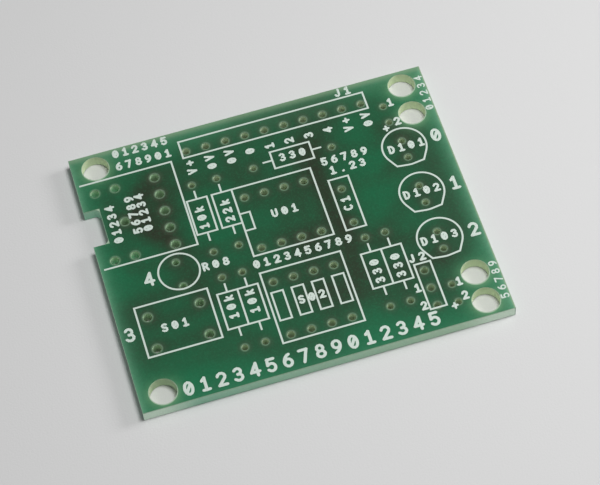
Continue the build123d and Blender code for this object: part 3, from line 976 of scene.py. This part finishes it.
# The copper side's coat: how far its outer face lies below the bare laminate, how far above the
# pads' lowest face it stays over a track, and its thickness
COAT_DROP, COAT_CLEAR, COAT_BODY = 0.020 * MM, 0.004 * MM, 0.016 * MM
# It starts to leave the laminate this near to a track, and takes this much width, in millimetres
STEP_START, STEP_WIDTH = 0.30, 0.18
# A pad's corners lie this far from its hole's middle, give or take the second figure
PAD_RADIUS, PAD_SPREAD = 0.9 * MM, 0.25 * MM


class BOARD_OT_printed_resist(bpy.types.Operator):
    """Coat the printed side with green resist"""
    bl_idname = "board.printed_resist"
    bl_label = "Printed side resist"

    def execute(self, context):
        sizes = context.scene.board_resist
        leads = LEADS + (0, 0, sizes.collar)
        holes = np.concatenate([leads, LARGE + (0, -sizes.slip, sizes.slip + sizes.bore_collar)])
        points, faces = coat_sheet(holes, sizes.inset, sizes.cell)
        corners, faces = closed_coat(points, faces, np.full(len(points), TOP + sizes.thickness),
                                     np.full(len(points), TOP))
        piece = add_mesh("resist_printed_side", corners, faces, printed_side_finish(sizes),
                         smooth=False)
        copper = CopperMap(sizes.cell)
        shade = (NEAR_SHARE * copper.blurred(points, sizes.near_blur)
                 + (1 - NEAR_SHARE) * copper.blurred(points, sizes.wide_blur))
        add_attribute(piece, "shade", np.tile(shade, 2))
        add_attribute(piece, "hole", np.tile(hole_gap(points, LEADS), 2))
        add_attribute(piece, "bore", np.tile(bore_glow(points, sizes.bore_depth), 2))
        add_attribute(piece, "rim", np.tile(rim_glow(points, sizes.rim_depth), 2))
        return {"FINISHED"}


class BOARD_OT_copper_resist(bpy.types.Operator):
    """Coat the copper side, with a window at each pad"""
    bl_idname = "board.copper_resist"
    bl_label = "Copper side resist"

    def execute(self, context):
        sizes = context.scene.board_resist
        pads = self.pad_windows(sizes.window)
        holes = np.concatenate([pads, LARGE + (0, 0, sizes.bore_collar)])
        points, faces = coat_sheet(holes, sizes.inset, sizes.cell)
        copper = copper_field(points)
        ride = np.clip((STEP_START - copper) / STEP_WIDTH, 0, 1)
        ride = ride * ride * (3 - 2 * ride)
        bare = UNDER - COAT_DROP
        lower = bare + (PAD_FACE + COAT_CLEAR - bare) * ride
        corners, faces = closed_coat(points, faces, lower + COAT_BODY, lower)
        piece = add_mesh("resist_copper_side", corners, faces, copper_side_finish(sizes))
        add_attribute(piece, "copper", np.tile(copper, 2))
        add_attribute(piece, "rim", np.tile(rim_glow(points, sizes.rim_depth), 2))
        return {"FINISHED"}

    def pad_windows(self, gap):
        """One round window for each lead hole: its pad's outer radius and a gap."""
        windows = []
        for x, y, radius in LEADS:
            reach = np.hypot(COPPER[:, 0, 0] - x, COPPER[:, 0, 1] - y)
            rim = reach[np.abs(reach - PAD_RADIUS) < PAD_SPREAD]
            if len(rim) >= 4:
                radius = rim.min() + gap
            windows.append((x, y, radius))
        return np.array(windows)


class BOARD_OT_solids(bpy.types.Operator):
    """Finish the laminate, the tinned copper and the printed outlines"""
    bl_idname = "board.solids"
    bl_label = "Laminate, tin and outlines"

    def execute(self, context):
        sizes = context.scene.board_laminate
        finishes = [(["laminate"], laminate_finish(sizes)), (CONDUCTORS, tin_finish(sizes)),
                    (LEGENDS, ink_finish(sizes))]
        for names, material in finishes:
            for name in names:
                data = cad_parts[name].data
                data.materials.clear()
                data.materials.append(material)
        return {"FINISHED"}


class BOARD_OT_lettering(bpy.types.Operator):
    """Print the legend's plain numbers and marks"""
    bl_idname = "board.lettering"
    bl_label = "Legend characters"

    def execute(self, context):
        sizes = context.scene.board_laminate
        self.ink = bpy.data.materials["legend ink"]
        usual = sizes.cap_height, sizes.ink_stroke
        self.leads(*usual)
        self.beside("legend_channel_numbers", CHANNEL_MARKS, sizes.bold_height, sizes.bold_stroke)
        self.beside("legend_part_marks", PART_MARKS, *usual)
        self.beside("legend_upright_marks", UPRIGHT_MARKS, *usual, turn=90)
        self.beside("legend_wire_marks", WIRE_MARKS, *usual)
        self.lines()
        return {"FINISHED"}

    def leads(self, cap, stroke):
        """A mark at each lead of the header, read upwards."""
        low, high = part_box("legend_header")
        first = (low[0] + high[0]) / 2 - (len(LEAD_MARKS) - 1) / 2 * PITCH
        strokes = []
        for place, text in enumerate(LEAD_MARKS):
            spot = (first + place * PITCH + LEAD_MARK_X, low[1] + LEAD_MARK_Y)
            strokes += write(text, spot, cap, stroke, turn=90)
        add_lettering("legend_channel_names", strokes, self.ink)

    def beside(self, name, marks, cap, stroke, turn=0):
        """Marks at set places from the middles of their solids."""
        strokes = []
        for text, solid, x, y in marks:
            strokes += write(text, middle_of(solid) + (x * MM, y * MM), cap, stroke, turn=turn)
        add_lettering(name, strokes, self.ink)

    def lines(self):
        """Rows of plain digits, evenly spread over their lengths."""
        strokes = []
        for text, x, y, length, turn, cap, stroke in DIGIT_LINES:
            cap, stroke = cap * MM, stroke * MM
            advance = (length * MM - line_width(cap, stroke)) / (len(text) - 1)
            strokes += write(text, (x * MM, y * MM), cap, stroke, turn=turn, advance=advance)
        add_lettering("legend_digit_lines", strokes, self.ink)


# Places of the lamps, and the spot that the camera looks at, in metres
OVERHEAD_SPOT, SIDE_SPOT = (0.060, -0.014, 0.280), (0.262, 0.012, 0.150)
VIEW_SPOT = (1.164 * MM, -1.857 * MM, TOP)


class BOARD_OT_stage(bpy.types.Operator):
    """Lay the paper, set the lights and place the camera"""
    bl_idname = "board.stage"
    bl_label = "Paper, lights and camera"

    def execute(self, context):
        stage = context.scene.board_stage
        self.lay_paper(stage)
        self.set_lights(stage)
        self.place_camera(stage)
        return {"FINISHED"}

    def lay_paper(self, stage):
        """A flat square at the height of the board's lowest face."""
        half = stage.paper_side / 2
        corners = [(x, y, CAD_BOX[0][2])
                   for x, y in ((-half, -half), (half, -half), (half, half), (-half, half))]
        mesh = bpy.data.meshes.new("paper")
        mesh.from_pydata(corners, [], [(0, 1, 2, 3)])
        mesh.materials.append(paper_finish(stage))
        add_object("paper", mesh)

    def set_lights(self, stage):
        """A weak even light from all round and two soft lamps."""
        world = bpy.data.worlds.new("room")
        bpy.context.scene.world = world
        world.use_nodes = True
        background = world.node_tree.nodes["Background"]
        background.inputs["Color"].default_value = (1.0, 1.0, 1.0, 1.0)
        background.inputs["Strength"].default_value = stage.ambient
        self.add_lamp("overhead", OVERHEAD_SPOT, stage.key_size, stage.key_power)
        self.add_lamp("side", SIDE_SPOT, stage.side_size, stage.side_power)

    def add_lamp(self, name, spot, size, power):
        """Round soft lamp that faces the board."""
        lamp = bpy.data.lights.new(name, "AREA")
        lamp.shape = "DISK"
        lamp.size = size
        lamp.energy = power
        holder = add_object(name, lamp)
        holder.location = spot
        holder.rotation_euler = (-holder.location).to_track_quat("-Z", "Y").to_euler()
        holder.visible_camera = False

    def place_camera(self, stage):
        """Looks at the board's top from a heading and a height, and turns about its own view."""
        heading, rise, roll = stage.azimuth, stage.elevation, stage.roll
        level = np.cos(rise)
        view = Vector((np.sin(heading) * level, np.cos(heading) * level, -np.sin(rise)))
        right = view.cross(Vector((0, 0, 1))).normalized()
        up = right.cross(view)
        across = right * np.cos(roll) - up * np.sin(roll)
        upward = up * np.cos(roll) + right * np.sin(roll)
        matrix = Matrix((across, upward, -view)).transposed().to_4x4()
        matrix.translation = Vector(VIEW_SPOT) - view * stage.distance
        data = bpy.data.cameras.new("camera")
        data.lens = stage.lens_mm
        data.sensor_width = 36.0
        data.clip_start = 0.01
        camera = add_object("camera", data)
        camera.matrix_world = matrix
        bpy.context.scene.camera = camera
        bpy.context.scene.view_settings.view_transform = "Standard"


class BOARD_PT_panel(bpy.types.Panel):
    """Lists the board's steps in the sidebar"""
    bl_idname = "BOARD_PT_panel"
    bl_label = "Circuit board"
    bl_space_type = "VIEW_3D"
    bl_region_type = "UI"
    bl_category = "Board"

    def draw(self, context):
        for step in STEPS:
            self.layout.operator(step.bl_idname)


STEPS = (BOARD_OT_solids, BOARD_OT_printed_resist, BOARD_OT_copper_resist, BOARD_OT_lettering,
         BOARD_OT_stage)
GROUPS = {"board_resist": BoardResist, "board_laminate": BoardLaminate, "board_stage": BoardStage}
CLASSES = (*GROUPS.values(), *STEPS, BOARD_PT_panel)


def register():
    """Makes the groups, the steps and the panel known to Blender."""
    for kind in CLASSES:
        bpy.utils.register_class(kind)
    for name, kind in GROUPS.items():
        setattr(bpy.types.Scene, name, PointerProperty(type=kind))


def unregister():
    """Takes them out again, in the opposite order."""
    for name in GROUPS:
        delattr(bpy.types.Scene, name)
    for kind in reversed(CLASSES):
        bpy.utils.unregister_class(kind)


def main():
    """Runs every step in order."""
    register()
    for step in STEPS:
        group, action = step.bl_idname.split(".")
        getattr(getattr(bpy.ops, group), action)()


if __name__ == "__main__":
    main()
